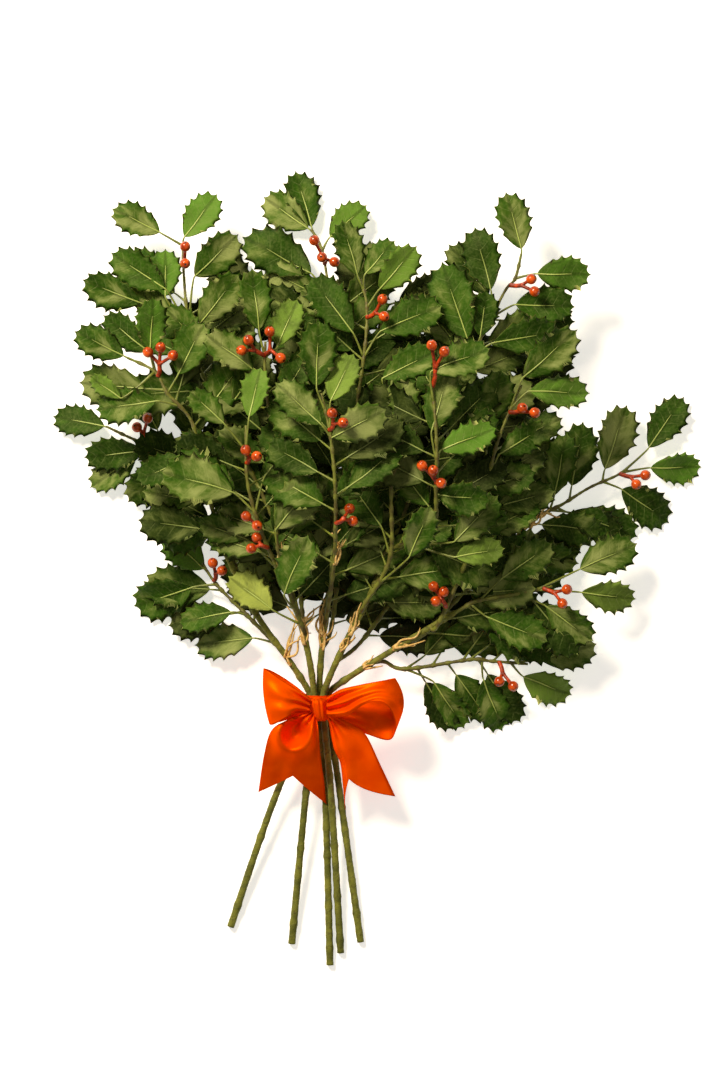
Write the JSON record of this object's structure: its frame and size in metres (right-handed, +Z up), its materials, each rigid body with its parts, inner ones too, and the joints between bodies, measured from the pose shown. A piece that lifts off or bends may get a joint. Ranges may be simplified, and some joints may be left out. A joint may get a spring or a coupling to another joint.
{
  "type": "tied holly bunch",
  "caption": "Bunch of spiny-leaved holly branches with berry clusters, tied round the stems with a wide satin ribbon bow, lying on its back.",
  "frame": {"origin": "on the surface the bunch lies on, at the middle of its box in plan", "axes": "+Y from the cut stem ends to the leaf tips, +X to the right as seen from above, +Z up out of the surface"},
  "size_m": [0.4215, 0.5177, 0.1083],
  "materials": {
    "taped_stem": "matt florists' tape wound on a stem, olive green",
    "holly_leaf": "satin dark green, blotched, with a paler midrib",
    "berry": "glossy orange-red with red stalks",
    "satin_ribbon": "shiny orange-red satin"
  },
  "bodies": {
    "root": {"berries_01": "berry", "berries_02": "berry", "berries_03": "berry", "berries_04": "berry", "berries_05": "berry", "berries_06": "berry", "berries_07": "berry", "berries_08": "berry", "berries_09": "berry", "berries_10": "berry", "berries_11": "berry", "berries_12": "berry", "berries_13": "berry", "berries_14": "berry", "berries_15": "berry", "berries_16": "berry", "berries_17": "berry", "berries_18": "berry", "bow_knot": "satin_ribbon", "bow_loop_left": "satin_ribbon", "bow_loop_right": "satin_ribbon", "bow_tail_left": "satin_ribbon", "bow_tail_right": "satin_ribbon", "spray_bottom_left": "holly_leaf", "spray_bottom_right": "holly_leaf", "spray_centre": "holly_leaf", "spray_centre_left": "holly_leaf", "spray_centre_right": "holly_leaf", "spray_far_right": "holly_leaf", "spray_left": "holly_leaf", "spray_low_centre": "holly_leaf", "spray_low_right": "holly_leaf", "spray_mid_left": "holly_leaf", "spray_right": "holly_leaf", "spray_right_upper": "holly_leaf", "spray_top": "holly_leaf", "spray_under_left": "holly_leaf", "spray_under_middle": "holly_leaf", "spray_under_right": "holly_leaf", "spray_upper_inner": "holly_leaf", "spray_upper_left": "holly_leaf", "spray_upper_middle": "holly_leaf", "spray_upper_right": "holly_leaf", "stem_1": "taped_stem", "stem_2": "taped_stem", "stem_3": "taped_stem", "stem_4": "taped_stem", "stem_5": "taped_stem", "tie_band": "satin_ribbon"}
  },
  "joints": []
}
